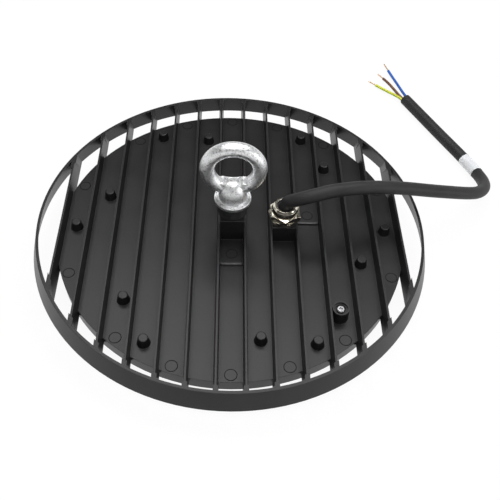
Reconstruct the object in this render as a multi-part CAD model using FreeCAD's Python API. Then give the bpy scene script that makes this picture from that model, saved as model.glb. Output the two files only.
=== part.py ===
import FreeCAD, Part
import math
import os

# High bay light, lying lens down. Millimetres, +Z up, origin on the floor under
# the centre of the round body. The fins run along Y.

# ---- casting: plate, skirt, fins and outer ring ----
plate_radius = 123.0
plate_thickness = 3.0
skirt_height = 9.6
skirt_wall = 3.0
skirt_taper = 0.4
ledge_width = 5.0
ledge_thickness = 3.1
fin_count = 14
fin_pitch = 18.4
fin_height = 10.4
fin_tip_width = 1.3
fin_draft_deg = 4.5
air_gap = 11.0
ring_flare = 4.0
ring_height = 15.0
ring_wall = 2.0
foot_length = 3.5
foot_width = 3.2

# ---- stack below the skirt ----
frame_drop = 8.0
frame_gap = 0.5
frame_flange_thickness = 3.0
frame_flange_width = 20.3
frame_side_gap = 1.2
frame_lip_taper = 3.8
frame_lip_width = 2.8
lens_thickness = 2.5
lens_side_gap = 0.6
gasket_width = 3.6

# ---- screw bosses on top of the plate ----
outer_boss_inset = 12.6
board_screw_inset = 8.5
inner_boss_turn_deg = -18.5
bosses_per_circle = 6
boss_height = 6.5
boss_tip_radius = 3.3
boss_root_radius = 4.4
boss_edge_radius = 0.7
boss_roof = 2.4
lens_post_radius = 4.3

# ---- test screw boss ----
test_boss_x = 71.0
test_boss_y = -73.8
test_boss_radius = 5.5
test_boss_draft = 0.5
test_boss_below_fins = 0.5
test_recess_radius = 4.6
test_recess_depth = 1.4
test_seat_radius = 3.6
test_seat_depth = 1.2

# ---- eye bolt and its mounting block ----
block_length = 21.0
block_above_fins = 10.5
spacer_radius = 10.3
spacer_height = 11.0
spacer_edge = 0.8
bolt_radius = 5.0
bolt_clearance = 0.1
bolt_reach = 25.0
bolt_hole_extra = 1.5
collar_radius = 12.7
collar_thickness = 3.0
collar_edge = 0.6
collar_rim_width = 1.0
collar_groove_depth = 0.7
neck_radius = 9.6
neck_cone_height = 1.2
eye_centre_above_seat = 29.0
eye_wire_circle = 17.3
eye_wire_radius = 5.0
neck_levels = [(0.0, 9.6, 8.4), (3.0, 9.4, 7.4), (7.0, 11.6, 6.3), (11.0, 14.6, 5.4), (15.0, 16.6, 4.4)]

# ---- cable gland ----
gland_bay = 2
gland_block_length = 20.0
gland_block_above_fins = 4.0
gland_thread_radius = 8.0
gland_thread_clearance = 0.1
gland_hex = 20.0
gland_hex_turn_deg = 15.0
body_hex_height = 3.0
seal_ring_thickness = 0.8
nut_hex_height = 3.8
dome_height = 5.2
dome_base_radius = 9.3
dome_lip_radius = 7.9
dome_mouth_radius = 6.0
dome_step_count = 3
lip_edge = 0.7
nut_bevel = 0.9
gland_neck_radius = 7.4
gland_neck_height = 5.0
gland_fit = 0.15
gland_bore_radius = 5.2
lock_nut_height = 3.6
lock_nut_gap = 0.1

# ---- raised pads on the plate ----
pad_height = 1.6
pad_edge_radius = 1.4
centre_pad_length = 22.0
side_pad_bay = 3
side_pad_start = 6.1
side_pad_length = 20.0

# ---- light source board and driver ----
board_edge_gap = 2.6
board_thickness = 1.6
gland_window_radius = 13.0
led_size = 5.0
led_thickness = 0.8
led_row_inset = 13.0
led_row_pitch = 22.0
led_row_counts = [16, 22]
optic_radius = 7.5
optic_drop = 4.2
turret_draft = 1.0
turret_wall = 2.2
turret_floor_gap = 1.2

rectifier_size = (15.0, 11.0, 3.4)
rectifier_place = (-22.0, -9.0)
chip_size = (6.0, 5.0, 1.6)
chip_place = (-30.0, 4.0)
chip_pitch = 10.0
chip_count = 4
varistor_radius = 5.5
varistor_height = 4.2
varistor_place = (2.0, 25.0)
capacitor_size = (18.0, 8.0, 7.6)
capacitor_place = (-14.0, 20.0)
capacitor_edge = 1.0
fuse_radius = 2.6
fuse_length = 22.0
fuse_place = (-9.0, -22.0)
terminal_x = 16.0
terminal_width = 8.0
terminal_length = 14.0
terminal_height = 8.0
terminal_pitch = 4.6
mouth_depth = 3.0
lead_offset = 1.3
lead_gap = 0.5
lead_slack = 1.2
lead_reach = 4.8  # from the gland to the low point of a lead
lead_straight = 3.6  # end of a lead that runs straight into its mouth
lead_dip = 6.6

# ---- screws ----
frame_screw_radius = 2.0
frame_screw_head_radius = 3.9
frame_screw_head_height = 2.4
board_screw_radius = 1.5
board_screw_head_radius = 3.0
board_screw_head_height = 1.9
test_screw_radius = 1.5
test_screw_head_radius = 2.8
test_screw_head_height = 1.9
test_screw_length = 6.0
screw_clearance = 0.15
head_bevel_share = 0.35
slot_width_share = 0.25  # of the radius of the head
screw_tip_gap = 1.0

# ---- supply cable ----
cable_radius = 4.75
cable_seal_gap = 0.1
seal_below_lip = 1.6
label_wall = 0.25
core_radius = 1.2
core_circle = 2.3
core_straight = 3.5
core_angles_deg = {"blue": 210.0, "brown": 82.0, "earth": -25.0}
core_fans = {
    "blue": [(10.0, -3.3, 3.9), (23.0, -6.9, 3.4), (35.5, -9.8, 2.9), (43.8, -11.8, 2.5)],
    "brown": [(10.0, 1.3, 6.7), (19.0, 1.0, 5.8), (27.5, 0.8, 4.8), (34.1, 0.7, 4.0)],
    "earth": [(9.0, 3.7, 3.7), (17.0, 6.2, 2.9), (24.5, 8.6, 2.3), (30.9, 10.7, 2.0)]}
bare_lengths = {"blue": 11.3, "brown": 9.1, "earth": 8.3}
strand_radius = 0.6
run_share = 0.45
cable_route = [
    (36.8, 0.0, 39.0), (36.8, 0.0, 47.4), (41.8, -3.6, 53.4), (52.2, -4.5, 58.5),
    (67.6, -1.0, 61.0), (87.6, 4.2, 59.4), (108.0, 9.8, 54.4), (126.0, 14.9, 48.2),
    (143.0, 19.5, 41.8), (160.5, 25.1, 34.9), (177.0, 31.8, 27.2), (188.4, 38.8, 21.0),
    (196.4, 48.6, 16.0), (199.9, 60.0, 11.2), (199.3, 72.2, 7.4), (195.4, 86.0, 5.5),
    (187.9, 102.4, 5.05), (177.8, 122.8, 4.8), (166.2, 146.6, 4.8), (155.1, 169.2, 4.8)]
points_after_label_count = 4

same_place = 0.01  # edges closer than this to a line count as lying on it

# ---- radii and heights worked out from the sizes above ----
ring_top_radius = plate_radius + air_gap + ring_wall
outer_boss_circle = plate_radius - outer_boss_inset
board_radius = outer_boss_circle - lens_post_radius - board_edge_gap
inner_boss_circle = board_radius - board_screw_inset
outer_led_row = inner_boss_circle - led_row_inset
led_row_radii = [outer_led_row - led_row_pitch, outer_led_row]
frame_outer_radius = plate_radius - frame_side_gap
frame_opening_radius = frame_outer_radius - frame_flange_width
skirt_bottom = frame_drop
plate_top = skirt_bottom + skirt_height
plate_bottom = plate_top - plate_thickness
fin_top = plate_top + fin_height
ring_bottom = fin_top - ring_height
frame_top = skirt_bottom - frame_gap
frame_flange_bottom = frame_top - frame_flange_thickness
lens_bottom = frame_top
lens_top = lens_bottom + lens_thickness
ledge_bottom = plate_bottom - ledge_thickness
gasket_thickness = ledge_bottom - lens_top
skirt_inner_radius = plate_radius - skirt_wall
lens_radius = skirt_inner_radius - lens_side_gap
ledge_inner_radius = skirt_inner_radius - ledge_width
board_bottom = plate_bottom - board_thickness
block_top = fin_top + block_above_fins
seat_height = block_top + spacer_height
gland_block_top = fin_top + gland_block_above_fins
gland_x = gland_bay * fin_pitch
turret_radius = gland_x + lead_offset + core_radius + lead_gap + turret_draft + turret_wall
bay_width = fin_pitch - fin_tip_width
fin_slope = math.tan(math.radians(fin_draft_deg))


def point(x, y, z):
    return FreeCAD.Vector(x, y, z)


def cylinder(radius, height, x, y, z):
    return Part.makeCylinder(radius, height, point(x, y, z))


def tube(outer, inner, height, x, y, z):
    return cylinder(outer, height, x, y, z).cut(cylinder(inner, height, x, y, z))


def block(size_x, size_y, size_z, x, y, z):
    """A box centred on x and y, standing on z."""
    return Part.makeBox(size_x, size_y, size_z, point(x - size_x / 2, y - size_y / 2, z))


def turned(profile, x=0.0, y=0.0):
    """Turn a list of (radius, height) corners about the upright axis at x, y."""
    corners = [point(radius, 0, height) for radius, height in profile]
    face = Part.Face(Part.makePolygon(corners + corners[:1]))
    solid = face.revolve(point(0, 0, 0), point(0, 0, 1), 360)
    solid.translate(point(x, y, 0))
    return solid


def hexagon(across_flats, height, x, y, z, turn_deg):
    corner_radius = across_flats / math.sqrt(3)
    corners = []
    for step in range(6):
        angle = math.radians(60 * step + 30 + turn_deg)
        corners.append(point(x + corner_radius * math.cos(angle), y + corner_radius * math.sin(angle), z))
    face = Part.Face(Part.makePolygon(corners + corners[:1]))
    return face.extrude(point(0, 0, height))


def bevelled_nut(across_flats, height, bevel, x, y, z, turn_deg):
    """A hexagon whose top corners are turned off by a cone."""
    corner_radius = across_flats / math.sqrt(3)
    cone = turned([(0, z), (corner_radius, z), (corner_radius, z + height - bevel),
                   (across_flats / 2, z + height), (0, z + height)], x, y)
    return hexagon(across_flats, height, x, y, z, turn_deg).common(cone)


def circle_places(radius, count, turn_deg=0.0):
    places = []
    for step in range(count):
        angle = math.radians(turn_deg + 360.0 * step / count)
        places.append((radius * math.cos(angle), radius * math.sin(angle)))
    return places


def save(name, shape):
    shape = shape.removeSplitter()
    shape.exportStep("parts/" + name + ".step")
    print(name, "solids", len(shape.Solids), "volume", round(shape.Volume, 1), "valid", shape.isValid())


# ---- casting ----

def fin_positions():
    return [(number - (fin_count - 1) / 2) * fin_pitch for number in range(fin_count)]


def plate_and_skirt():
    return turned([(0, plate_bottom), (ledge_inner_radius, plate_bottom), (ledge_inner_radius, ledge_bottom),
                   (skirt_inner_radius, ledge_bottom), (skirt_inner_radius, skirt_bottom),
                   (plate_radius - skirt_taper, skirt_bottom), (plate_radius, plate_top), (0, plate_top)])


def ring_cone(inset_top, inset_bottom):
    """A solid cone with the flare of the outer ring, smaller by the insets."""
    top = ring_top_radius - inset_top
    bottom = ring_top_radius + ring_flare - inset_bottom
    return turned([(0, ring_bottom), (bottom, ring_bottom), (top, fin_top), (0, fin_top)])


def outer_ring():
    return ring_cone(0, 0).cut(ring_cone(ring_wall, ring_wall))


def fin_prism(x, tip_width, bottom):
    """A drafted bar along Y, long enough to pass through the ring."""
    half_tip = tip_width / 2
    half_root = half_tip + (fin_top - bottom) * fin_slope
    reach = ring_top_radius + ring_flare
    corners = [point(x - half_tip, -reach, fin_top), point(x + half_tip, -reach, fin_top),
               point(x + half_root, -reach, bottom), point(x - half_root, -reach, bottom)]
    face = Part.Face(Part.makePolygon(corners + corners[:1]))
    return face.extrude(point(0, 2 * reach, 0))


def fins():
    inside_ring = ring_cone(ring_wall / 2, ring_wall / 2)
    bars = [fin_prism(x, fin_tip_width, ring_bottom) for x in fin_positions()]
    cavity = cylinder(ledge_inner_radius + ledge_width / 2, plate_top, 0, 0, plate_bottom - plate_top)
    lens_room = cylinder(skirt_inner_radius, plate_top, 0, 0, ledge_bottom - plate_top)
    return Part.makeCompound(bars).common(inside_ring).cut([cavity, lens_room])


def fin_feet():
    """Where each fin meets the ring it is thicker, within a narrow band."""
    band = ring_cone(ring_wall / 2, ring_wall / 2)
    band = band.cut(ring_cone(ring_wall + foot_length, ring_wall + foot_length))
    bars = [block(foot_width, 2 * (ring_top_radius + ring_flare), ring_height, x, 0, ring_bottom)
            for x in fin_positions()]
    return Part.makeCompound(bars).common(band)


def screw_boss(x, y):
    """A drafted blind boss with a rounded top edge."""
    top = plate_top + boss_height
    corner = boss_tip_radius - boss_edge_radius
    slant = boss_edge_radius * (1 - math.sqrt(0.5))
    middle = plate_bottom + plate_thickness / 2
    return turned([(0, middle), (boss_root_radius, middle),
                   (boss_root_radius, plate_top), (boss_tip_radius, top - boss_edge_radius),
                   (boss_tip_radius - slant, top - slant), (corner, top), (0, top)], x, y)


def lens_posts():
    posts = [cylinder(lens_post_radius, plate_bottom - lens_top, x, y, lens_top)
             for x, y in circle_places(outer_boss_circle, bosses_per_circle)]
    return posts


def test_boss_top():
    return fin_top - test_boss_below_fins


def test_boss():
    top = test_boss_top()
    return turned([(0, plate_bottom + plate_thickness / 2), (test_boss_radius + test_boss_draft, plate_top),
                   (test_boss_radius, top), (0, top)], test_boss_x, test_boss_y)


def rounded_pad(bay, start, length):
    """A low pad between two fins whose front edge is rounded."""
    pad = block(bay_width, length, pad_height + plate_thickness / 2, bay * fin_pitch,
                start + length / 2, plate_top - plate_thickness / 2)
    top = plate_top + pad_height
    front = [edge for edge in pad.Edges
             if abs(edge.CenterOfMass.y - start) < same_place
             and abs(edge.CenterOfMass.z - top) < same_place]
    return pad.makeFillet(pad_edge_radius, front)


def heat_sink():
    body = plate_and_skirt()
    solids = [outer_ring(), fins(), fin_feet(), test_boss()]
    for x, y in circle_places(outer_boss_circle, bosses_per_circle):
        solids.append(screw_boss(x, y))
    for x, y in circle_places(inner_boss_circle, bosses_per_circle, inner_boss_turn_deg):
        solids.append(screw_boss(x, y))
    solids.extend(lens_posts())
    solids.append(block(bay_width, block_length, block_top - plate_bottom, 0, 0, plate_bottom))
    solids.append(block(bay_width, gland_block_length, gland_block_top - plate_bottom,
                        gland_x, 0, plate_bottom))
    solids.append(rounded_pad(0, -block_length / 2 - centre_pad_length, centre_pad_length))
    solids.append(rounded_pad(side_pad_bay, side_pad_start, side_pad_length))
    body = body.fuse(solids)
    return body.cut(heat_sink_holes())


def heat_sink_holes():
    holes = []
    depth = boss_height + plate_thickness - boss_roof
    for x, y in circle_places(outer_boss_circle, bosses_per_circle):
        holes.append(cylinder(frame_screw_radius + screw_clearance, plate_bottom - lens_top + depth,
                              x, y, lens_top))
    for x, y in circle_places(inner_boss_circle, bosses_per_circle, inner_boss_turn_deg):
        holes.append(cylinder(board_screw_radius + screw_clearance, depth, x, y, plate_bottom))
    bolt_hole_depth = bolt_reach - spacer_height + bolt_hole_extra
    holes.append(cylinder(bolt_radius + bolt_clearance, bolt_hole_depth, 0, 0, block_top - bolt_hole_depth))
    holes.append(cylinder(gland_thread_radius + gland_thread_clearance, gland_block_top - plate_bottom,
                          gland_x, 0, plate_bottom))
    top = test_boss_top()
    seat = top - test_recess_depth - test_seat_depth
    holes.append(cylinder(test_recess_radius, test_recess_depth, test_boss_x, test_boss_y,
                          top - test_recess_depth))
    holes.append(cylinder(test_seat_radius, test_seat_depth, test_boss_x, test_boss_y, seat))
    shank = test_screw_length + screw_tip_gap
    holes.append(cylinder(test_screw_radius + screw_clearance, shank, test_boss_x, test_boss_y,
                          seat - shank))
    return Part.makeCompound(holes)


# ---- eye bolt ----

def ellipse_wire(half_x, half_y, z):
    if half_x > half_y:
        curve = Part.Ellipse(point(0, 0, z), half_x, half_y)
    else:
        curve = Part.Circle(point(0, 0, z), point(0, 0, 1), half_x)
    return Part.Wire(curve.toShape())


def eye_bolt():
    """Forged ring on a flared neck, a collar with a raised rim, and a shank."""
    foot = seat_height - bolt_reach
    collar_top = seat_height + collar_thickness
    groove = collar_top - collar_groove_depth
    neck_base = groove + neck_cone_height
    rim_inner = collar_radius - collar_rim_width
    shank = turned([(0, foot), (bolt_radius - collar_edge, foot), (bolt_radius, foot + collar_edge),
                    (bolt_radius, seat_height), (collar_radius - collar_edge, seat_height),
                    (collar_radius, seat_height + collar_edge),
                    (collar_radius, collar_top - collar_edge / 2),
                    (collar_radius - collar_edge / 2, collar_top), (rim_inner, collar_top),
                    (rim_inner - collar_edge, groove), (neck_radius + neck_cone_height, groove),
                    (neck_radius, neck_base), (neck_radius, neck_base + neck_cone_height),
                    (0, neck_base + neck_cone_height)])
    centre = seat_height + eye_centre_above_seat
    ring = Part.makeTorus(eye_wire_circle, eye_wire_radius, point(0, 0, centre), point(0, 1, 0))
    sections = [ellipse_wire(half_x, half_y, neck_base + level) for level, half_x, half_y in neck_levels]
    neck = Part.makeLoft(sections, True, False)
    opening = Part.makeCylinder(eye_wire_circle - eye_wire_radius, 2 * collar_radius,
                                point(0, -collar_radius, centre), point(0, 1, 0))
    return shank.fuse([neck.cut(opening), ring])


def eye_bolt_spacer():
    top = seat_height
    inner = bolt_radius + bolt_clearance
    return turned([(inner, block_top), (spacer_radius - spacer_edge, block_top),
                   (spacer_radius, block_top + spacer_edge), (spacer_radius, top - spacer_edge),
                   (spacer_radius - spacer_edge, top), (inner, top)])


# ---- cable gland ----

gland_seal_top = gland_block_top + seal_ring_thickness
body_hex_top = gland_seal_top + body_hex_height
nut_hex_top = body_hex_top + nut_hex_height
lip_top = nut_hex_top + dome_height


def gland_washer():
    return tube(gland_hex / 2, gland_thread_radius + gland_thread_clearance, seal_ring_thickness,
                gland_x, 0, gland_block_top)


def gland_body():
    """Hexagon, thread through the casting and a neck inside the dome nut."""
    foot = plate_bottom - lock_nut_height - lock_nut_gap
    thread = cylinder(gland_thread_radius, gland_seal_top - foot, gland_x, 0, foot)
    neck = cylinder(gland_neck_radius, gland_neck_height, gland_x, 0, body_hex_top)
    body = hexagon(gland_hex, body_hex_height, gland_x, 0, gland_seal_top, gland_hex_turn_deg)
    body = body.fuse([thread, neck])
    return body.cut(cylinder(gland_bore_radius, lip_top - foot, gland_x, 0, foot))


def turned_dome():
    """The dome above the hexagon: an elliptical shoulder up to a rounded lip."""
    shoulder = dome_base_radius - dome_lip_radius
    corners = [(0, nut_hex_top), (dome_base_radius, nut_hex_top)]
    for step in range(1, dome_step_count + 1):
        angle = math.radians(90 * step / dome_step_count)
        corners.append((dome_lip_radius + shoulder * math.cos(angle),
                        nut_hex_top + (dome_height - lip_edge) * math.sin(angle)))
    corners.extend([(dome_lip_radius - lip_edge, lip_top), (0, lip_top)])
    return turned(corners, gland_x, 0)


def gland_dome_nut():
    """Hexagon with bevelled corners under a rounded dome with a rolled lip."""
    nut = bevelled_nut(gland_hex, nut_hex_height, nut_bevel, gland_x, 0, body_hex_top, 0)
    shell = nut.fuse(turned_dome())
    hollow = cylinder(gland_neck_radius + gland_fit, gland_neck_height + gland_fit, gland_x, 0, body_hex_top)
    mouth = cylinder(dome_mouth_radius, lip_top - body_hex_top, gland_x, 0, body_hex_top)
    return shell.cut([hollow, mouth])


def gland_seal():
    """Rubber sleeve that grips the cable in the mouth of the dome nut."""
    base = body_hex_top + gland_neck_height
    return tube(dome_mouth_radius - cable_seal_gap, cable_radius + cable_seal_gap,
                lip_top - base - seal_below_lip, gland_x, 0, base)


def gland_lock_nut():
    bottom = plate_bottom - lock_nut_height
    nut = hexagon(gland_hex, lock_nut_height, gland_x, 0, bottom, 0)
    return nut.cut(cylinder(gland_thread_radius + gland_thread_clearance, lock_nut_height,
                            gland_x, 0, bottom))


# ---- underside ----

def lens_plate():
    """Clear moulding: flat rim, one domed optic for each light source, and a
    round turret over the driver."""
    turret_bottom = turret_floor_gap
    outline = turned([(0, turret_bottom), (turret_radius - turret_draft, turret_bottom),
                      (turret_radius, lens_bottom), (lens_radius, lens_bottom), (lens_radius, lens_top),
                      (turret_radius - turret_wall, lens_top),
                      (turret_radius - turret_wall - turret_draft, turret_bottom + turret_wall),
                      (0, turret_bottom + turret_wall)])
    sphere_radius = (optic_radius ** 2 + optic_drop ** 2) / (2 * optic_drop)
    rim_plane = cylinder(lens_radius, lens_thickness / 2 + optic_drop, 0, 0, lens_bottom - optic_drop)
    optics = []
    for radius, count in zip(led_row_radii, led_row_counts):
        for x, y in circle_places(radius, count):
            ball = Part.makeSphere(sphere_radius, point(x, y, lens_bottom + sphere_radius - optic_drop))
            optics.append(ball.common(rim_plane))
    plate = outline.fuse(optics)
    holes = [cylinder(frame_screw_radius + screw_clearance, lens_thickness, x, y, lens_bottom)
             for x, y in circle_places(outer_boss_circle, bosses_per_circle)]
    return plate.cut(Part.makeCompound(holes))


def lens_gasket():
    return tube(lens_radius, lens_radius - gasket_width, gasket_thickness, 0, 0, lens_top)


def lens_frame():
    """Clamping ring with a tapered lip that carries the light when it lies."""
    lip_outer = frame_outer_radius - frame_lip_taper
    frame = turned([(frame_opening_radius, frame_flange_bottom), (frame_opening_radius, frame_top),
                    (frame_outer_radius, frame_top), (lip_outer, 0), (lip_outer - frame_lip_width, 0),
                    (lip_outer - frame_lip_width + frame_side_gap, frame_flange_bottom)])
    hole_radius = frame_screw_radius + screw_clearance
    holes = [cylinder(hole_radius, frame_flange_thickness, x, y, frame_flange_bottom)
             for x, y in circle_places(outer_boss_circle, bosses_per_circle)]
    return frame.cut(Part.makeCompound(holes))


def pan_screw(x, y, shank_radius, shank_length, head_radius, head_height, head_z, head_up):
    """A screw with a bevelled head; head_z is the face that clamps."""
    edge = head_height * head_bevel_share
    sign = 1 if head_up else -1
    tip = head_z - sign * shank_length
    crown = head_z + sign * head_height
    return turned([(0, tip), (shank_radius, tip), (shank_radius, head_z), (head_radius, head_z),
                   (head_radius, crown - sign * edge), (head_radius - edge, crown), (0, crown)], x, y)


def frame_screws():
    length = plate_top + boss_height - boss_roof - frame_flange_bottom - screw_tip_gap
    return Part.makeCompound([
        pan_screw(x, y, frame_screw_radius, length, frame_screw_head_radius, frame_screw_head_height,
                  frame_flange_bottom, False)
        for x, y in circle_places(outer_boss_circle, bosses_per_circle)])


def board_screws():
    length = plate_top + boss_height - boss_roof - board_bottom - screw_tip_gap
    return Part.makeCompound([
        pan_screw(x, y, board_screw_radius, length, board_screw_head_radius, board_screw_head_height,
                  board_bottom, False)
        for x, y in circle_places(inner_boss_circle, bosses_per_circle, inner_boss_turn_deg)])


def test_screw():
    seat = test_boss_top() - test_recess_depth - test_seat_depth
    screw = pan_screw(test_boss_x, test_boss_y, test_screw_radius, test_screw_length, test_screw_head_radius,
                      test_screw_head_height, seat, True)
    slot_top = seat + test_screw_head_height
    slot_long = test_screw_head_radius
    slot_wide = test_screw_head_radius * slot_width_share
    slot_deep = test_screw_head_height / 2
    slot_bottom = slot_top - slot_deep
    cross = [block(slot_long, slot_wide, slot_deep, test_boss_x, test_boss_y, slot_bottom),
             block(slot_wide, slot_long, slot_deep, test_boss_x, test_boss_y, slot_bottom)]
    return screw.cut(cross)


def led_board():
    board = cylinder(board_radius, board_thickness, 0, 0, board_bottom)
    holes = [cylinder(board_screw_radius + screw_clearance, board_thickness, x, y, board_bottom)
             for x, y in circle_places(inner_boss_circle, bosses_per_circle, inner_boss_turn_deg)]
    holes.append(cylinder(gland_window_radius, board_thickness, gland_x, 0, board_bottom))
    return board.cut(Part.makeCompound(holes))


def led_packages():
    return Part.makeCompound([
        block(led_size, led_size, led_thickness, x, y, board_bottom - led_thickness)
        for radius, count in zip(led_row_radii, led_row_counts) for x, y in circle_places(radius, count)])


# ---- driver parts under the middle of the board ----

def hung_block(size_x, size_y, size_z, x, y):
    return block(size_x, size_y, size_z, x, y, board_bottom - size_z)


def rectifier():
    return hung_block(*rectifier_size, *rectifier_place)


def driver_chips():
    first_x, y = chip_place
    return Part.makeCompound([hung_block(*chip_size, first_x + number * chip_pitch, y)
                              for number in range(chip_count)])


def varistor():
    return cylinder(varistor_radius, varistor_height, *varistor_place, board_bottom - varistor_height)


def film_capacitor():
    body = hung_block(*capacitor_size, *capacitor_place)
    upright = [edge for edge in body.Edges if edge.BoundBox.ZLength > capacitor_size[2] / 2]
    return body.makeFillet(capacitor_edge, upright)


def fuse():
    x, y = fuse_place
    start = point(x, y, board_bottom - fuse_radius)
    return Part.makeCylinder(fuse_radius, fuse_length, start, point(1, 0, 0))


def terminal_block():
    """Three way push-in block whose wire mouths face the gland."""
    body = hung_block(terminal_width, terminal_length, terminal_height, terminal_x, 0)
    mouth_x = terminal_x + terminal_width / 2 - mouth_depth
    mouths = [Part.makeCylinder(core_radius + screw_clearance, mouth_depth,
                                point(mouth_x, way * terminal_pitch, board_bottom - terminal_height / 2),
                                point(1, 0, 0)) for way in (-1, 0, 1)]
    return body.cut(Part.makeCompound(mouths))


# ---- cable ----

def route_edges(points, report=False):
    """Straight runs joined by arcs, each as large as its two runs allow."""
    route = [point(*place) for place in points]
    edges = []
    start = route[0]
    for before, corner, after in zip(route, route[1:], route[2:]):
        incoming = before - corner
        outgoing = after - corner
        trim = run_share * min(incoming.Length, outgoing.Length)
        half_turn = (math.pi - incoming.getAngle(outgoing)) / 2
        radius = trim / math.tan(half_turn)
        incoming.normalize()
        outgoing.normalize()
        enter = corner + incoming * trim
        leave = corner + outgoing * trim
        inward = incoming + outgoing
        inward.normalize()
        middle = corner + inward * (radius / math.cos(half_turn) - radius)
        edges.append(Part.LineSegment(start, enter).toShape())
        edges.append(Part.Arc(enter, middle, leave).toShape())
        start = leave
        if report:
            print("arc radius", round(radius, 1), "turn", round(math.degrees(2 * half_turn), 1))
    edges.append(Part.LineSegment(start, route[-1]).toShape())
    return edges


def swept(edges, radius):
    """A round bar along a row of tangent edges."""
    first = edges[0].Vertexes[0].Point
    direction = edges[0].Vertexes[-1].Point - first
    section = Part.Wire(Part.Circle(first, direction, radius).toShape())
    return Part.Wire(edges).makePipeShell([section], True, False)


def supply_cable():
    edges = route_edges(cable_route, True)
    jacket = swept(edges, cable_radius)
    length = Part.Wire(edges).Length
    ideal = math.pi * cable_radius ** 2 * length
    print("cable length", round(length, 1), "volume", round(jacket.Volume, 1),
          "section by length", round(ideal, 1))
    return jacket


def cable_label():
    """A sleeve shrunk over one bend of the jacket and the straights beside it."""
    edges = route_edges(cable_route)
    corner = 2 * (len(cable_route) - points_after_label_count - 1) - 1
    stretch = edges[corner - 1:corner + 2]
    return swept(stretch, cable_radius + label_wall).cut(swept(stretch, cable_radius))


def cable_end():
    """The cut end of the jacket, its direction, and the way to its left."""
    tip = point(*cable_route[-1])
    forward = tip - point(*cable_route[-2])
    forward.normalize()
    left = point(0, 0, 1).cross(forward)
    left.normalize()
    return tip, forward, left


def core_points(name):
    """Route of one core: from the jacket's end face, then fanned out. Each
    entry of the fan is a distance ahead, one to the left and a height."""
    tip, forward, left = cable_end()
    angle = math.radians(core_angles_deg[name])
    side = core_circle * math.cos(angle)
    start_height = tip.z + core_circle * math.sin(angle)
    stations = [(0.0, side, start_height), (core_straight, side, start_height)] + core_fans[name]
    places = []
    for ahead, across, height in stations:
        place = tip + forward * ahead + left * across
        places.append((place.x, place.y, height))
    return places


def core(name):
    return swept(route_edges(core_points(name)), core_radius)


def strands(name):
    """The stripped copper that carries on from the end of a core."""
    points = core_points(name)
    end = point(*points[-1])
    direction = end - point(*points[-2])
    direction.normalize()
    return Part.makeCylinder(strand_radius, bare_lengths[name], end, direction)


def inner_leads():
    """The three cores from the jacket's inner end to the terminal block."""
    leads = []
    top = cable_route[0][2]
    mouth = terminal_x + terminal_width / 2
    level = board_bottom - terminal_height / 2
    for way in (-1, 0, 1):
        x = gland_x + lead_offset * (2 * abs(way) - 1)
        y = way * core_circle
        spread = way * terminal_pitch
        points = [(x, y, top), (x, y, plate_top), (x - lead_slack, y, level),
                  (x - lead_reach, spread, lead_dip),
                  (mouth + lead_straight, spread, level - lead_slack / 2), (mouth, spread, level)]
        leads.append(swept(route_edges(points), core_radius))
    return Part.makeCompound(leads)


def main():
    os.makedirs("parts", exist_ok=True)
    save("heat_sink", heat_sink())
    save("eye_bolt", eye_bolt())
    save("eye_bolt_spacer", eye_bolt_spacer())
    save("gland_washer", gland_washer())
    save("gland_body", gland_body())
    save("gland_dome_nut", gland_dome_nut())
    save("gland_seal", gland_seal())
    save("gland_lock_nut", gland_lock_nut())
    save("lens_plate", lens_plate())
    save("lens_gasket", lens_gasket())
    save("lens_frame", lens_frame())
    save("frame_screws", frame_screws())
    save("board_screws", board_screws())
    save("test_screw", test_screw())
    save("led_board", led_board())
    save("led_packages", led_packages())
    save("rectifier", rectifier())
    save("driver_chips", driver_chips())
    save("varistor", varistor())
    save("film_capacitor", film_capacitor())
    save("fuse", fuse())
    save("terminal_block", terminal_block())
    save("inner_leads", inner_leads())
    save("supply_cable", supply_cable())
    save("cable_label", cable_label())
    save("blue_core", core("blue"))
    save("brown_core", core("brown"))
    save("earth_core", core("earth"))
    save("blue_strands", strands("blue"))
    save("brown_strands", strands("brown"))
    save("earth_strands", strands("earth"))


main()
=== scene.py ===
import math
import bpy
from mathutils import Matrix, Vector


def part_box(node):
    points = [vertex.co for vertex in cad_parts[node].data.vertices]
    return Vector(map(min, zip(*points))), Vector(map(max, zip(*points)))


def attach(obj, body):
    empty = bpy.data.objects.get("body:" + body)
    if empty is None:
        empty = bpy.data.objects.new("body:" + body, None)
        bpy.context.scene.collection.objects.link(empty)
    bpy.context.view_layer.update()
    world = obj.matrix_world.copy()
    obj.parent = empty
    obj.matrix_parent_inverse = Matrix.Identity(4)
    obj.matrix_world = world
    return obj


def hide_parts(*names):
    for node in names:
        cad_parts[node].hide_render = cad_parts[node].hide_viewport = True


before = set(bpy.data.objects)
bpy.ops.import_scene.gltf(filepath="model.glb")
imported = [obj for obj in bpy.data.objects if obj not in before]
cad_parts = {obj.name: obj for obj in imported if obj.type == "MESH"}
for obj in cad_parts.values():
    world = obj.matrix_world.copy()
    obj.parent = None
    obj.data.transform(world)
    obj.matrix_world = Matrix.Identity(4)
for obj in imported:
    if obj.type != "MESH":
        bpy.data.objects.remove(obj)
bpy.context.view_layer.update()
mm = 0.001
print("frame loaded:", len(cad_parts), "nodes")

cameraView = {
    "place": (-0.00581, -0.32794, 0.39795),
    "turnDeg": -3.473,  # about the upright, away from straight ahead
    "tiltDeg": 39.183,  # up from looking straight down
    "rollDeg": 3.627,
    "focalLength": 50.06,
    "sensorWidth": 36,
}


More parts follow.
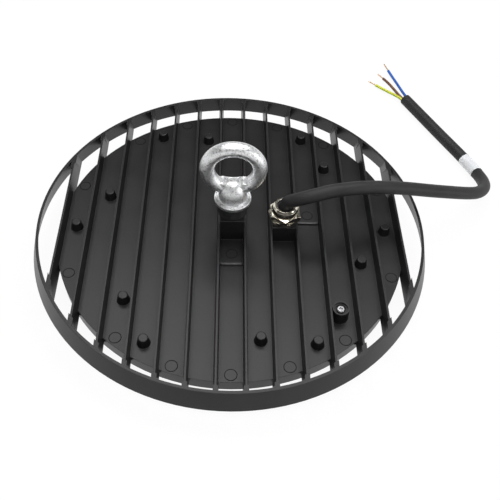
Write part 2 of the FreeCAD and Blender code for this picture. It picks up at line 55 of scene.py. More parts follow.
def makeCamera(view):
    data = bpy.data.cameras.new("camera")
    data.lens = view["focalLength"]
    data.sensor_width = view["sensorWidth"]
    camera = bpy.data.objects.new("camera", data)
    bpy.context.scene.collection.objects.link(camera)
    turn = Matrix.Rotation(math.radians(view["turnDeg"]), 4, "Z")
    tilt = Matrix.Rotation(math.radians(view["tiltDeg"]), 4, "X")
    roll = Matrix.Rotation(math.radians(view["rollDeg"]), 4, "Z")
    camera.matrix_world = Matrix.Translation(view["place"]) @ turn @ tilt @ roll
    bpy.context.scene.camera = camera


makeCamera(cameraView)
bpy.context.scene.view_settings.view_transform = "Standard"
print("camera made")


def deselectAll():
    for each in bpy.context.selected_objects:
        each.select_set(False)


def onlyPick(piece):
    deselectAll()
    piece.select_set(True)
    bpy.context.view_layer.objects.active = piece


def keepPlace(piece):  # puts the object's turn and place into its mesh
    onlyPick(piece)
    bpy.ops.object.transform_apply(location=True, rotation=True, scale=True)


def joinAll(pieces, name):
    onlyPick(pieces[0])
    for each in pieces:
        each.select_set(True)
    bpy.ops.object.join()
    whole = bpy.context.view_layer.objects.active
    whole.name = name
    return whole


def setSockets(node, values):
    for name, value in values.items():
        node.inputs[name].default_value = value


def newMaterial(name, color, roughness, metallic=0.0):
    material = bpy.data.materials.new(name)
    material.use_nodes = True
    shader = material.node_tree.nodes["Principled BSDF"]
    setSockets(shader, {"Base Color": (*color, 1), "Roughness": roughness, "Metallic": metallic})
    return material, material.node_tree.nodes, material.node_tree.links, shader


def dress(node, material):  # a new finish on a CAD node
    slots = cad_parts[node].data.materials
    slots.clear()
    slots.append(material)


def makeGroup(name, inputs, outputs):
    group = bpy.data.node_groups.new(name, "ShaderNodeTree")
    for socketName, kind, value in inputs:
        socket = group.interface.new_socket(name=socketName, in_out="INPUT", socket_type=kind)
        if value is not None:
            socket.default_value = value
    for socketName, kind in outputs:
        group.interface.new_socket(name=socketName, in_out="OUTPUT", socket_type=kind)
    return group, group.nodes.new("NodeGroupInput"), group.nodes.new("NodeGroupOutput")


grainLook = {"fineScale": 1800.0, "broadScale": 60.0, "fineShare": 0.6, "fineDetail": 3, "broadDetail": 4}
edgeLook = {"radius": 0.0004, "gain": 6.0, "samples": 6}


def makeGrainGroup():  # two sizes of noise mixed into one height and one mask
    group, given, result = makeGroup(
        "surfaceGrain",
        [("Vector", "NodeSocketVector", None),
         ("Fine Scale", "NodeSocketFloat", grainLook["fineScale"]),
         ("Broad Scale", "NodeSocketFloat", grainLook["broadScale"]),
         ("Fine Share", "NodeSocketFloat", grainLook["fineShare"])],
        [("Height", "NodeSocketFloat"), ("Patches", "NodeSocketFloat")])
    fine = group.nodes.new("ShaderNodeTexNoise")
    fine.inputs["Detail"].default_value = grainLook["fineDetail"]
    broad = group.nodes.new("ShaderNodeTexNoise")
    broad.inputs["Detail"].default_value = grainLook["broadDetail"]
    blend = group.nodes.new("ShaderNodeMix")
    group.links.new(given.outputs["Vector"], fine.inputs["Vector"])
    group.links.new(given.outputs["Vector"], broad.inputs["Vector"])
    group.links.new(given.outputs["Fine Scale"], fine.inputs["Scale"])
    group.links.new(given.outputs["Broad Scale"], broad.inputs["Scale"])
    group.links.new(given.outputs["Fine Share"], blend.inputs["Factor"])
    group.links.new(broad.outputs["Fac"], blend.inputs["A"])
    group.links.new(fine.outputs["Fac"], blend.inputs["B"])
    group.links.new(blend.outputs["Result"], result.inputs["Height"])
    group.links.new(broad.outputs["Fac"], result.inputs["Patches"])
    return group


def makeEdgeGroup():  # rounds sharp edges for the light, and says where they are
    group, given, result = makeGroup(
        "roundedEdge",
        [("Radius", "NodeSocketFloat", edgeLook["radius"]), ("Gain", "NodeSocketFloat", edgeLook["gain"])],
        [("Normal", "NodeSocketVector"), ("Edge", "NodeSocketFloat")])
    bevel = group.nodes.new("ShaderNodeBevel")
    bevel.samples = edgeLook["samples"]
    shape = group.nodes.new("ShaderNodeNewGeometry")
    dot = group.nodes.new("ShaderNodeVectorMath")
    dot.operation = "DOT_PRODUCT"
    lack = group.nodes.new("ShaderNodeMath")
    lack.operation = "SUBTRACT"
    lack.inputs[0].default_value = 1.0
    gain = group.nodes.new("ShaderNodeMath")
    gain.operation = "MULTIPLY"
    gain.use_clamp = True
    group.links.new(given.outputs["Radius"], bevel.inputs["Radius"])
    group.links.new(bevel.outputs["Normal"], dot.inputs[0])
    group.links.new(shape.outputs["Normal"], dot.inputs[1])
    group.links.new(dot.outputs["Value"], lack.inputs[1])
    group.links.new(lack.outputs["Value"], gain.inputs[0])
    group.links.new(given.outputs["Gain"], gain.inputs[1])
    group.links.new(bevel.outputs["Normal"], result.inputs["Normal"])
    group.links.new(gain.outputs["Value"], result.inputs["Edge"])
    return group


grainGroup = makeGrainGroup()
edgeGroup = makeEdgeGroup()


def addGroup(nodes, group, values):
    node = nodes.new("ShaderNodeGroup")
    node.node_tree = group
    setSockets(node, values)
    return node


def addGrain(nodes, links, place, look):
    grain = addGroup(nodes, grainGroup, {
        "Fine Scale": look["fineScale"], "Broad Scale": look["broadScale"],
        "Fine Share": look.get("fineShare", grainLook["fineShare"])})
    links.new(place.outputs["Object"], grain.inputs["Vector"])
    return grain


def addBump(nodes, links, shader, grain, look):
    bump = nodes.new("ShaderNodeBump")
    setSockets(bump, {"Strength": look["bumpStrength"], "Distance": look["bumpHeight"]})
    links.new(grain.outputs["Height"], bump.inputs["Height"])
    links.new(bump.outputs["Normal"], shader.inputs["Normal"])
    return bump


def stretch(nodes, links, source, given, wanted=(0.0, 1.0)):  # one range of values to another
    node = nodes.new("ShaderNodeMapRange")
    setSockets(node, {"From Min": given[0], "From Max": given[1], "To Min": wanted[0], "To Max": wanted[1]})
    links.new(source, node.inputs["Value"])
    return node


def mixColors(nodes, links, factor, low, high):  # low is a colour, or the output of another mix
    mix = nodes.new("ShaderNodeMix")
    mix.data_type = "RGBA"
    if isinstance(low, tuple):
        mix.inputs["A"].default_value = (*low, 1)
    else:
        links.new(low, mix.inputs["A"])
    mix.inputs["B"].default_value = (*high, 1)
    links.new(factor, mix.inputs["Factor"])
    return mix.outputs["Result"]


noiseReach = {  # the stretch of the noise that each effect follows
    "tone": (0.35, 0.65),
    "pits": (0.46, 0.38),
    "roughness": (0.3, 0.7),
}


def finishMaterial(name, look):  # a paint, plating or rubber with grain, patches and soft edges
    metallic = look.get("metallic", 0.0)
    material, nodes, links, shader = newMaterial(name, look["color"], look["roughness"], metallic)
    place = nodes.new("ShaderNodeTexCoord")
    grain = addGrain(nodes, links, place, look)
    edge = addGroup(nodes, edgeGroup, {"Radius": look["edgeRadius"], "Gain": edgeLook["gain"]})
    patches = stretch(nodes, links, grain.outputs["Patches"], noiseReach["tone"])
    tone = mixColors(nodes, links, patches.outputs["Result"], look["color"], look["color2"])
    if "edgeWearAndHighlight" in look:  # edges are paler: partly worn paint, partly a painted highlight of the light the rounded edges catch
        tone = mixColors(nodes, links, edge.outputs["Edge"], tone, look["edgeWearAndHighlight"])
    if "pitColor" in look:  # the low spots of a forged skin are darker
        pits = stretch(nodes, links, grain.outputs["Height"], noiseReach["pits"])
        tone = mixColors(nodes, links, pits.outputs["Result"], tone, look["pitColor"])
    links.new(tone, shader.inputs["Base Color"])
    span = (look["roughness"] - look["roughSpread"], look["roughness"] + look["roughSpread"])
    rough = stretch(nodes, links, grain.outputs["Height"], noiseReach["roughness"], span)
    links.new(rough.outputs["Result"], shader.inputs["Roughness"])
    bump = addBump(nodes, links, shader, grain, look)
    links.new(edge.outputs["Normal"], bump.inputs["Normal"])
    if "specular" in look:
        shader.inputs["Specular IOR Level"].default_value = look["specular"]
    return material


stripedLook = {
    "yellow": (0.55, 0.56, 0.030), "green": (0.20, 0.38, 0.04), "roughness": 0.38,
    "stripes": 2, "greenShare": 0.17, "turn": 0.13,
    "fineScale": 2000, "broadScale": 200, "bumpStrength": 0.12, "bumpHeight": 0.00005}


def makeStripedCore(look):  # yellow insulation with green stripes along it
    material, nodes, links, shader = newMaterial("coreGreenYellow", look["yellow"], look["roughness"])
    place = nodes.new("ShaderNodeTexCoord")
    split = nodes.new("ShaderNodeSeparateXYZ")
    links.new(place.outputs["UV"], split.inputs["Vector"])
    around = nodes.new("ShaderNodeMath")
    around.operation = "MULTIPLY_ADD"  # how far round, counted in stripes
    around.inputs[1].default_value = look["stripes"]
    around.inputs[2].default_value = look["turn"]
    links.new(split.outputs["Y"], around.inputs[0])
    within = nodes.new("ShaderNodeMath")
    within.operation = "FRACT"
    links.new(around.outputs["Value"], within.inputs[0])
    stripe = nodes.new("ShaderNodeMath")
    stripe.operation = "LESS_THAN"
    stripe.inputs[1].default_value = look["greenShare"]
    links.new(within.outputs["Value"], stripe.inputs[0])
    tone = mixColors(nodes, links, stripe.outputs["Value"], look["yellow"], look["green"])
    links.new(tone, shader.inputs["Base Color"])
    addBump(nodes, links, shader, addGrain(nodes, links, place, look), look)
    return material


# the paler edge colour is partly worn paint and partly a painted highlight on the rounded edges
paintLook = {
    "color": (0.0110, 0.0107, 0.0110), "color2": (0.0150, 0.0146, 0.0150),
    "edgeWearAndHighlight": (0.055, 0.054, 0.055), "roughness": 0.35, "roughSpread": 0.05,
    "fineScale": 2400, "broadScale": 45, "specular": 0.25,
    "bumpStrength": 0.2, "bumpHeight": 0.00006, "edgeRadius": 0.0005}
blackPaint = finishMaterial("blackPaint", paintLook)
markPaint = finishMaterial("markPaint", {**paintLook, "edgeRadius": 0.00008})
# painted highlight: a paler, shinier black for the round front edges of the pads, standing in for the light
# line their rounding catches
padHighlightPaint = finishMaterial("padHighlightPaint", {
    **paintLook, "color": (0.050, 0.049, 0.050), "color2": (0.070, 0.068, 0.070), "specular": 0.4})
# painted shade: a near-black matte for the rim and sides of the ejector marks, standing in for the shade
# along their tiny step
markShadeLine = finishMaterial("markShadeLine", {
    **paintLook, "color": (0.004, 0.004, 0.004), "color2": (0.006, 0.006, 0.006),
    "edgeWearAndHighlight": (0.008, 0.008, 0.008), "roughness": 0.7, "specular": 0.10, "edgeRadius": 0.00008})
spacerBlack = finishMaterial("spacerBlack", {
    "color": (0.010, 0.010, 0.011), "color2": (0.024, 0.024, 0.026), "roughness": 0.55, "roughSpread": 0.15,
    "fineScale": 1300, "broadScale": 320, "bumpStrength": 0.8, "bumpHeight": 0.0003, "edgeRadius": 0.0005})
castZinc = finishMaterial("castZinc", {
    "color": (0.74, 0.745, 0.755), "color2": (0.90, 0.905, 0.91), "pitColor": (0.34, 0.34, 0.35),
    "metallic": 1.0, "roughness": 0.38, "roughSpread": 0.12, "fineScale": 1500, "broadScale": 700,
    "fineShare": 0.55, "bumpStrength": 0.70, "bumpHeight": 0.00050, "edgeRadius": 0.0003})
nickel = finishMaterial("nickelPlate", {
    "color": (0.70, 0.66, 0.55), "color2": (0.80, 0.76, 0.66), "metallic": 1.0, "roughness": 0.15,
    "roughSpread": 0.04, "fineScale": 900, "broadScale": 200, "bumpStrength": 0.02,
    "bumpHeight": 0.00003, "edgeRadius": 0.0002})
blackRubber = finishMaterial("blackRubber", {
    "color": (0.0165, 0.0165, 0.0175), "color2": (0.021, 0.021, 0.022),
    "roughness": 0.54, "roughSpread": 0.02, "fineScale": 1400, "broadScale": 90, "specular": 0.26,
    "bumpStrength": 0.03, "bumpHeight": 0.00003, "edgeRadius": 0.0004})
labelPale = finishMaterial("labelPale", {
    "color": (0.60, 0.61, 0.63), "color2": (0.64, 0.66, 0.67), "roughness": 0.30, "roughSpread": 0.06,
    "fineScale": 1100, "broadScale": 70, "bumpStrength": 0.15, "bumpHeight": 0.0001, "edgeRadius": 0.0003})
coreLook = {
    "roughness": 0.38, "roughSpread": 0.05, "fineScale": 2000, "broadScale": 200,
    "bumpStrength": 0.12, "bumpHeight": 0.00005, "edgeRadius": 0.0002}
coreBlue = finishMaterial("coreBlue", {
    **coreLook, "color": (0.011, 0.082, 0.37), "color2": (0.016, 0.105, 0.44)})
coreBrown = finishMaterial("coreBrown", {
    **coreLook, "color": (0.105, 0.038, 0.014), "color2": (0.140, 0.052, 0.020)})
copper = finishMaterial("copperWire", {
    "color": (0.72, 0.47, 0.28), "color2": (0.82, 0.60, 0.40), "metallic": 1.0, "roughness": 0.32,
    "roughSpread": 0.08, "fineScale": 3000, "broadScale": 700, "bumpStrength": 0.12,
    "bumpHeight": 0.00005, "edgeRadius": 0.0001})
gasketRubber = finishMaterial("gasketRubber", {
    "color": (0.20, 0.20, 0.21), "color2": (0.25, 0.25, 0.26), "roughness": 0.7, "roughSpread": 0.08,
    "fineScale": 1200, "broadScale": 150, "bumpStrength": 0.2, "bumpHeight": 0.0001, "edgeRadius": 0.0002})
screwSteel = finishMaterial("screwSteel", {
    "color": (0.26, 0.26, 0.27), "color2": (0.40, 0.40, 0.41), "metallic": 1.0, "roughness": 0.36,
    "roughSpread": 0.08, "fineScale": 1500, "broadScale": 400, "bumpStrength": 0.15,
    "bumpHeight": 0.0001, "edgeRadius": 0.0003})
boardWhite = finishMaterial("boardWhite", {
    "color": (0.74, 0.74, 0.71), "color2": (0.79, 0.79, 0.77), "roughness": 0.4, "roughSpread": 0.06,
    "fineScale": 900, "broadScale": 60, "bumpStrength": 0.08, "bumpHeight": 0.0001, "edgeRadius": 0.0002})
smallLook = {  # the small parts of the driver share most of their finish
    "roughness": 0.3, "roughSpread": 0.05, "fineScale": 1500, "broadScale": 300,
    "bumpStrength": 0.1, "bumpHeight": 0.0001, "edgeRadius": 0.0003}
ledYellow = finishMaterial("ledPhosphor", {
    **smallLook, "color": (0.85, 0.62, 0.10), "color2": (0.90, 0.70, 0.16), "roughness": 0.35,
    "fineScale": 3000, "broadScale": 500, "bumpHeight": 0.00005})
chipBlack = finishMaterial("chipBlack", {
    **smallLook, "color": (0.02, 0.02, 0.02), "color2": (0.03, 0.03, 0.03), "roughness": 0.5,
    "fineScale": 3000, "broadScale": 500, "bumpStrength": 0.2, "bumpHeight": 0.00005})
varistorBlue = finishMaterial("varistorBlue", {
    **smallLook, "color": (0.03, 0.12, 0.42), "color2": (0.04, 0.15, 0.5),
    "bumpStrength": 0.2, "edgeRadius": 0.0008})
capacitorYellow = finishMaterial("capacitorYellow", {
    **smallLook, "color": (0.7, 0.42, 0.04), "color2": (0.75, 0.47, 0.06), "edgeRadius": 0.0005})
paleCeramic = finishMaterial("paleCeramic", {
    **smallLook, "color": (0.6, 0.6, 0.56), "color2": (0.68, 0.68, 0.64), "edgeRadius": 0.0004})
whiteNylon = finishMaterial("whiteNylon", {
    **smallLook, "color": (0.66, 0.66, 0.63), "color2": (0.72, 0.72, 0.7),
    "roughness": 0.45, "roughSpread": 0.06})
leadGrey = finishMaterial("leadGrey", {
    **smallLook, "color": (0.16, 0.16, 0.17), "color2": (0.2, 0.2, 0.21),
    "roughness": 0.4, "edgeRadius": 0.0002})

lensLook = {
    "color": (0.96, 0.97, 0.98), "roughness": 0.08, "refraction": 1.58,
    "fineScale": 900, "broadScale": 120, "bumpStrength": 0.05, "bumpHeight": 0.0001}


def makeClearLens(look):  # clear polycarbonate, very slightly frosted
    material, nodes, links, shader = newMaterial("clearLens", look["color"], look["roughness"])
    setSockets(shader, {"IOR": look["refraction"], "Transmission Weight": 1.0})
    place = nodes.new("ShaderNodeTexCoord")
    addBump(nodes, links, shader, addGrain(nodes, links, place, look), look)
    return material


clearLens = makeClearLens(lensLook)
coreGreenYellow = makeStripedCore(stripedLook)

for node, material in {
        "heat_sink": blackPaint, "lens_frame": blackPaint,
        "eye_bolt": castZinc, "eye_bolt_spacer": spacerBlack,
        "gland_body": nickel, "gland_dome_nut": nickel, "gland_lock_nut": nickel,
        "gland_washer": blackRubber, "gland_seal": blackRubber,
        "lens_gasket": gasketRubber, "lens_plate": clearLens,
        "frame_screws": screwSteel, "board_screws": screwSteel, "test_screw": screwSteel,
        "led_board": boardWhite, "led_packages": ledYellow,
        "rectifier": chipBlack, "driver_chips": chipBlack, "varistor": varistorBlue,
        "film_capacitor": capacitorYellow, "fuse": paleCeramic,
        "terminal_block": whiteNylon, "inner_leads": leadGrey}.items():
    dress(node, material)
print("finishes on the CAD nodes")

cable = {
    "radius": 4.75,
    "route": [
        (36.8, 0.0, 39.0), (36.8, 0.0, 47.4), (41.8, -3.6, 53.4), (52.2, -4.5, 58.5),
        (67.6, -1.0, 61.0), (87.6, 4.2, 59.4), (108.0, 9.8, 54.4), (126.0, 14.9, 48.2),
        (143.0, 19.5, 41.8), (160.5, 25.1, 34.9), (177.0, 31.8, 27.2), (188.4, 38.8, 21.0),
        (196.4, 48.6, 16.0), (199.9, 60.0, 11.2), (199.3, 72.2, 7.4), (195.4, 86.0, 5.5),
        (187.9, 102.4, 5.05), (177.8, 122.8, 4.8), (166.2, 146.6, 4.8), (155.1, 169.2, 4.8)],
    "length": 320.0,
    "sides": 12,
}
cordSmooth = {"steps": 12, "order": 3}


def cordCurve(name, route, radius, sides):
    data = bpy.data.curves.new(name, "CURVE")
    data.dimensions = "3D"
    data.resolution_u = cordSmooth["steps"]
    data.bevel_depth = radius * mm
    data.bevel_resolution = sides
    data.use_fill_caps = True
    line = data.splines.new("NURBS")
    line.points.add(len(route) - 1)
    for point, place in zip(line.points, route):
        point.co = (place[0] * mm, place[1] * mm, place[2] * mm, 1)
    line.order_u = cordSmooth["order"]
    line.use_endpoint_u = True
    piece = bpy.data.objects.new(name, data)
    bpy.context.scene.collection.objects.link(piece)
    return piece


def lineOf(piece):  # points along a cord's own smooth line
    depth = piece.data.bevel_depth
    piece.data.bevel_depth = 0
    bpy.context.view_layer.update()
    mesh = bpy.data.meshes.new_from_object(piece.evaluated_get(bpy.context.evaluated_depsgraph_get()))
    points = [vertex.co.copy() for vertex in mesh.vertices]
    bpy.data.meshes.remove(mesh)
    piece.data.bevel_depth = depth
    return points


cableJacket = cordCurve("cableJacket", cable["route"], cable["radius"], cable["sides"])
cableJacket.data.materials.append(blackRubber)
cablePath = lineOf(cableJacket)
print("cable laid, points along it:", len(cablePath))
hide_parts("supply_cable")
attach(cableJacket, "root")

label = {
    "wall": 0.24,
    "lowInset": -2.2,
    "highInset": 4.2,
    "sides": 12,
    "rim": 0.08,
    "rimAngleDeg": 50,
    "smoothDeg": 35,
}
sameSpot = 0.000001  # points closer than this are one point


def tubeAlong(name, points, radius, sides, caps):  # a mesh tube along points in metres
    data = bpy.data.curves.new(name, "CURVE")
    data.dimensions = "3D"
    data.bevel_depth = radius * mm
    data.bevel_resolution = sides
    data.use_fill_caps = caps
    line = data.splines.new("POLY")
    line.points.add(len(points) - 1)
    for point, place in zip(line.points, points):
        point.co = (*place, 1)
    piece = bpy.data.objects.new(name, data)
    bpy.context.scene.collection.objects.link(piece)
    onlyPick(piece)
    bpy.ops.object.convert(target="MESH")
    return bpy.context.view_layer.objects.active


def finishWith(piece, kind, **settings):  # adds one modifier and applies it
    onlyPick(piece)
    modifier = piece.modifiers.new(kind.lower(), kind)
    for name, value in settings.items():
        setattr(modifier, name, value)
    bpy.ops.object.modifier_apply(modifier=modifier.name)


def smoothOver(piece, angleDeg):
    onlyPick(piece)
    bpy.ops.object.shade_smooth_by_angle(angle=math.radians(angleDeg))


def outwards(piece):  # joins doubles and points the faces out
    onlyPick(piece)
    bpy.ops.object.mode_set(mode="EDIT")
    bpy.ops.mesh.select_all(action="SELECT")
    bpy.ops.mesh.remove_doubles(threshold=sameSpot)
    bpy.ops.mesh.normals_make_consistent(inside=False)
    bpy.ops.object.mode_set(mode="OBJECT")


def makeLabel():  # a blank sleeve round the cable, with a wall of its own
    low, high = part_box("cable_label")
    wrapped = [place for place in cablePath
               if low[1] + label["lowInset"] * mm < place.y < high[1] - label["highInset"] * mm]
    sleeve = tubeAlong("cableSleeve", wrapped, cable["radius"] + label["wall"], label["sides"], False)
    outwards(sleeve)
    finishWith(sleeve, "SOLIDIFY", thickness=label["wall"] * mm, offset=-1.0)
    finishWith(sleeve, "BEVEL", width=label["rim"] * mm, segments=2, limit_method="ANGLE",
               angle_limit=math.radians(label["rimAngleDeg"]))
    smoothOver(sleeve, label["smoothDeg"])
    sleeve.data.materials.append(labelPale)
    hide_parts("cable_label")
    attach(sleeve, "root")


makeLabel()
print("label on the cable")

cores = {
    "radius": 1.2,
    "sides": 8,
    "circle": 2.3,  # the middles of the cores inside the jacket
    "straight": 3.5,
    "fans": {  # ahead of the jacket's end, to its left, and the height
        "blue": (150.0, [(10.0, -3.4, 5.4), (23.0, -6.9, 4.0), (35.5, -9.8, 2.9), (43.8, -11.8, 2.5)]),
        "brown": (262.0, [(10.0, 0.7, 3.7), (19.0, 1.0, 4.8), (27.5, 0.8, 4.8), (34.1, 0.7, 4.0)]),
        "earth": (-25.0, [(9.0, 3.7, 3.7), (17.0, 6.2, 2.9), (24.5, 8.6, 2.3), (30.9, 10.7, 2.0)])},
    "lengths": {"blue": 45.0, "brown": 34.3, "earth": 32.3},
}
wires = {
    "count": 6,
    "radius": 0.2,
    "circle": 0.385,
    "lay": 7.5,  # length of one full turn of the twist
    "bare": {"blue": 11.3, "brown": 9.1, "earth": 8.3},
    "steps": 26,
    "sides": 2,
    "smoothDeg": 50,
    "trims": (0.0, 0.5, 0.2, 0.8, 0.1, 0.6, 0.3),  # how much shorter each wire is cut
}


def coreRoute(name):
    tip = Vector(cable["route"][-1])
    forward = (tip - Vector(cable["route"][-2])).normalized()
    left = Vector((0, 0, 1)).cross(forward).normalized()
    angle, fan = cores["fans"][name]
    across = cores["circle"] * math.cos(math.radians(angle))
    height = tip.z + cores["circle"] * math.sin(math.radians(angle))
    stations = [(0.0, across, height), (cores["straight"], across, height)] + fan
    places = [tip + forward * ahead + left * side for ahead, side, level in stations]
    return [(place.x, place.y, station[2]) for place, station in zip(places, stations)]


def twistedWires(name, route):  # bare copper wires twisted round a middle one
    start = Vector(route[-1]) * mm
    along = (Vector(route[-1]) - Vector(route[-2])).normalized()
    sideways = along.cross(Vector((0, 0, 1))).normalized()
    upwards = sideways.cross(along)
    bare = wires["bare"][name]
    pieces = []
    for number in range(wires["count"] + 1):
        circle = 0.0 if number == wires["count"] else wires["circle"]
        long = bare - wires["trims"][number]
        places = []
        for step in range(wires["steps"] + 1):
            ahead = long * step / wires["steps"]
            angle = 2 * math.pi * (ahead / wires["lay"] + number / wires["count"])
            ring = sideways * math.cos(angle) + upwards * math.sin(angle)
            places.append(start + (along * ahead + ring * circle) * mm)
        pieces.append(tubeAlong("wire", places, wires["radius"], wires["sides"], True))
    bundle = joinAll(pieces, name + "Wires")
    bundle.data.materials.append(copper)
    smoothOver(bundle, wires["smoothDeg"])
    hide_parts(name + "_strands")
    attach(bundle, "root")
    return bundle


for name, material, slotName in (("blue", coreBlue, "core_blue"), ("brown", coreBrown, "core_brown"),
                                 ("earth", coreGreenYellow, "core_green_yellow")):
    route = coreRoute(name)
    bundle = twistedWires(name, route)
    core = cordCurve(name + "Core", route, cores["radius"], cores["sides"])
    core.data.materials.append(material)
    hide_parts(name + "_core")
    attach(core, "root")
print("three cores and their copper ends")

eyeNeck = {
    "place": (0.0, -1.2, 55.5),
    "halfSize": (9.6, 8.8, 13.5),
    "footZ": 53.4,  # a little above the top of the collar
    "headZ": 67.6,  # a little below the flat at the bottom of the eye
    "meridians": 48,
    "rings": 32,
    "smoothDeg": 60,
}


def makeEyeNeck():  # the forging swells under the eye, and draws in to the collar
    deselectAll()
    bpy.ops.mesh.primitive_uv_sphere_add(segments=eyeNeck["meridians"], ring_count=eyeNeck["rings"],
                                         radius=1, location=[v * mm for v in eyeNeck["place"]],
                                         scale=[v * mm for v in eyeNeck["halfSize"]])
    neck = bpy.context.object
    neck.name = "eyeNeck"
    keepPlace(neck)
    bpy.ops.object.mode_set(mode="EDIT")
    bpy.ops.mesh.select_all(action="SELECT")
    bpy.ops.mesh.bisect(plane_co=(0, 0, eyeNeck["footZ"] * mm), plane_no=(0, 0, 1),
                        clear_inner=True, use_fill=True)
    bpy.ops.mesh.select_all(action="SELECT")
    bpy.ops.mesh.bisect(plane_co=(0, 0, eyeNeck["headZ"] * mm), plane_no=(0, 0, 1),
                        clear_outer=True, use_fill=True)
    bpy.ops.object.mode_set(mode="OBJECT")
    outwards(neck)
    smoothOver(neck, eyeNeck["smoothDeg"])
    neck.data.materials.append(castZinc)
    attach(neck, "root")


makeEyeNeck()
print("swelling under the eye")

ejectorMarks = {
    "radius": 4.1,
    "rim": 0.42,
    "wall": 0.06,
    "rise": 0.14,
    "dish": 0.08,
    "sunk": 0.05,
    "sides": 36,
    "smoothDeg": 30,
    "circle": 117.8,  # the marks near the edge of the plate
    "bays": (0.0, 36.8, 73.6, 110.4),
    "plateTop": 17.6,
    "padTop": 19.2,
    "onPads": ((55.2, 13.5), (0.0, -23.5)),
}
faceUp = 0.9  # a face whose normal has at least this much of up


def ejectorMark(x, y, top):  # the shallow rimmed dish that an ejector pin leaves
    rise, sunk = ejectorMarks["rise"], ejectorMarks["sunk"]
    bpy.ops.mesh.primitive_cylinder_add(
        vertices=ejectorMarks["sides"], radius=ejectorMarks["radius"] * mm, depth=(rise + sunk) * mm,
        location=(x * mm, y * mm, (top + (rise - sunk) / 2) * mm))
    mark = bpy.context.object
    keepPlace(mark)
    bpy.ops.object.mode_set(mode="EDIT")
    bpy.ops.mesh.select_all(action="DESELECT")
    bpy.ops.object.mode_set(mode="OBJECT")
    for face in mark.data.polygons:
        face.select = face.normal.z > faceUp
    bpy.ops.object.mode_set(mode="EDIT")
    bpy.ops.mesh.inset(thickness=ejectorMarks["rim"] * mm)
    bpy.ops.mesh.inset(thickness=ejectorMarks["wall"] * mm)
    bpy.ops.transform.translate(value=(0, 0, -ejectorMarks["dish"] * mm))
    bpy.ops.object.mode_set(mode="OBJECT")
    # the rim and sides get the near-black painted shade, and the middle gets the paint of the plate
    mark.data.materials.append(markShadeLine)
    mark.data.materials.append(markPaint)
    for face in mark.data.polygons:
        face.material_index = int(face.select)  # the middle keeps the paint of the plate; the rim and sides take the near-black painted shade
    return mark


def makeEjectorMarks():
    spots = [(x, y, ejectorMarks["padTop"]) for x, y in ejectorMarks["onPads"]]
    for bay in ejectorMarks["bays"]:
        away = math.sqrt(ejectorMarks["circle"] ** 2 - bay ** 2)
        for x in sorted({bay, -bay}):
            spots += [(x, side * away, ejectorMarks["plateTop"]) for side in (-1, 1)]
    deselectAll()
    whole = joinAll([ejectorMark(*spot) for spot in spots], "ejectorMarks")
    smoothOver(whole, ejectorMarks["smoothDeg"])
    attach(whole, "root")
    print("ejector marks:", len(spots))


makeEjectorMarks()

padEdges = {
    "radius": 0.75,
    "long": 14.6,
    "fronts": ((0.0, -32.5), (55.2, 6.1)),  # x and y of the front edge of each pad
    "inward": 0.45,  # from the front edge to the middle of the rounding
    "below": 0.6,  # from the top of the pad to the middle of the rounding
    "flat": 0.8,
    "rim": 0.3,
    "rimAngleDeg": 60,
    "sides": 20,
    "smoothDeg": 50,
}


def makePadEdges():  # the round front edges of the two pads between the fins, in a paler paint that is a painted highlight
    deselectAll()
    beads = []
    height = ejectorMarks["padTop"] - padEdges["below"]
    for x, y in padEdges["fronts"]:
        bpy.ops.mesh.primitive_cylinder_add(
            vertices=padEdges["sides"], radius=padEdges["radius"] * mm, depth=padEdges["long"] * mm,
            rotation=(0, math.radians(90), 0),
            location=(x * mm, (y + padEdges["inward"]) * mm, height * mm))
        bead = bpy.context.object
        keepPlace(bead)
        bpy.ops.object.mode_set(mode="EDIT")
        bpy.ops.mesh.select_all(action="SELECT")
        bpy.ops.transform.resize(value=(1, 1, padEdges["flat"]))
        bpy.ops.object.mode_set(mode="OBJECT")
        finishWith(bead, "BEVEL", width=padEdges["rim"] * mm, segments=2, limit_method="ANGLE",
                   angle_limit=math.radians(padEdges["rimAngleDeg"]))
        beads.append(bead)
    whole = joinAll(beads, "padEdges")
    # the paler paint is a painted highlight on the pad edges
    whole.data.materials.append(padHighlightPaint)
    smoothOver(whole, padEdges["smoothDeg"])
    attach(whole, "root")


makePadEdges()
print("edges of the pads")

studio = {
    "world": 0.35,
    "darkest": 0.10,  # what a shiny surface sees of the room above the pale horizon
    "horizon": (0.12, 0.42),  # how far up the room begins and ends to darken
    "floorWhite": 0.93,
    "floorSize": 6,
    "floorZ": -0.0002,
    "floorColor": (0.82, 0.82, 0.82),
    "floorRoughness": 0.9,
    "boxes": {  # place, aim, size and power of each soft box
        "topBox": ((0.14, 0.35, 1.12), (0.02, 0.0, 0.0), (1.4, 0.56), 13.5),
        "frontBox": ((-0.05, -0.46, 1.12), (0.0, 0.0, 0.03), (0.9, 0.30), 5.0),
        "sideBox": ((1.0, -0.45, 0.35), (0.0, 0.0, 0.02), (0.5, 0.5), 3.0)},
}


def anyRay(nodes, links, rays, names):  # 1 for a ray of one of these kinds
    total = rays.outputs[names[0]]
    for name in names[1:]:
        most = nodes.new("ShaderNodeMath")
        most.operation = "MAXIMUM"
        links.new(total, most.inputs[0])
        links.new(rays.outputs[name], most.inputs[1])
        total = most.outputs["Value"]
    return total


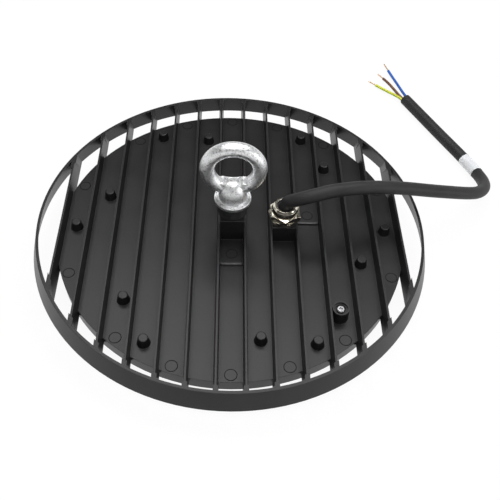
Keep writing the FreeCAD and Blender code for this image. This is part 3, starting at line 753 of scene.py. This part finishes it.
def makeWorld():  # white to the camera, paler or darker by height to what shines
    world = bpy.data.worlds.new("studio")
    bpy.context.scene.world = world
    world.use_nodes = True
    nodes, links = world.node_tree.nodes, world.node_tree.links
    background = nodes["Background"]
    background.inputs["Color"].default_value = (1, 1, 1, 1)
    rays = nodes.new("ShaderNodeLightPath")
    place = nodes.new("ShaderNodeTexCoord")
    split = nodes.new("ShaderNodeSeparateXYZ")
    links.new(place.outputs["Generated"], split.inputs["Vector"])
    room = stretch(nodes, links, split.outputs["Z"], studio["horizon"], (1.0, studio["darkest"]))
    room.interpolation_type = "SMOOTHSTEP"
    shiny = nodes.new("ShaderNodeMix")
    shiny.inputs["A"].default_value = studio["world"]
    links.new(rays.outputs["Is Glossy Ray"], shiny.inputs["Factor"])
    links.new(room.outputs["Result"], shiny.inputs["B"])
    level = nodes.new("ShaderNodeMix")
    level.inputs["B"].default_value = 1.0
    links.new(anyRay(nodes, links, rays, ("Is Camera Ray", "Is Transmission Ray")), level.inputs["Factor"])
    links.new(shiny.outputs["Result"], level.inputs["A"])
    links.new(level.outputs["Result"], background.inputs["Strength"])


def makeFloor():  # white to the eye and to what shines, yet it keeps the shadow
    bpy.ops.mesh.primitive_plane_add(size=studio["floorSize"], location=(0, 0, studio["floorZ"]))
    floor = bpy.context.object
    floor.name = "floor"
    material, nodes, links, shader = newMaterial(
        "paleFloor", studio["floorColor"], studio["floorRoughness"])
    glow = nodes.new("ShaderNodeEmission")
    glow.inputs["Color"].default_value = (1, 1, 1, 1)
    mix = nodes.new("ShaderNodeMixShader")
    rays = nodes.new("ShaderNodeLightPath")
    seen = anyRay(nodes, links, rays, ("Is Camera Ray", "Is Glossy Ray", "Is Transmission Ray"))
    share = nodes.new("ShaderNodeMath")
    share.operation = "MULTIPLY"
    share.inputs[1].default_value = studio["floorWhite"]
    links.new(seen, share.inputs[0])
    links.new(share.outputs["Value"], mix.inputs["Fac"])
    links.new(shader.outputs["BSDF"], mix.inputs[1])
    links.new(glow.outputs["Emission"], mix.inputs[2])
    links.new(mix.outputs["Shader"], nodes["Material Output"].inputs["Surface"])
    floor.data.materials.append(material)


def softBox(name, place, aim, size, power):
    data = bpy.data.lights.new(name, "AREA")
    data.shape = "RECTANGLE"
    data.size, data.size_y = size
    data.energy = power
    lamp = bpy.data.objects.new(name, data)
    bpy.context.scene.collection.objects.link(lamp)
    lamp.location = place
    lamp.rotation_mode = "QUATERNION"
    lamp.rotation_quaternion = (Vector(aim) - Vector(place)).to_track_quat("-Z", "Y")


deselectAll()
makeWorld()
makeFloor()
for boxName, (place, aim, size, power) in studio["boxes"].items():
    softBox(boxName, place, aim, size, power)
print("studio set")
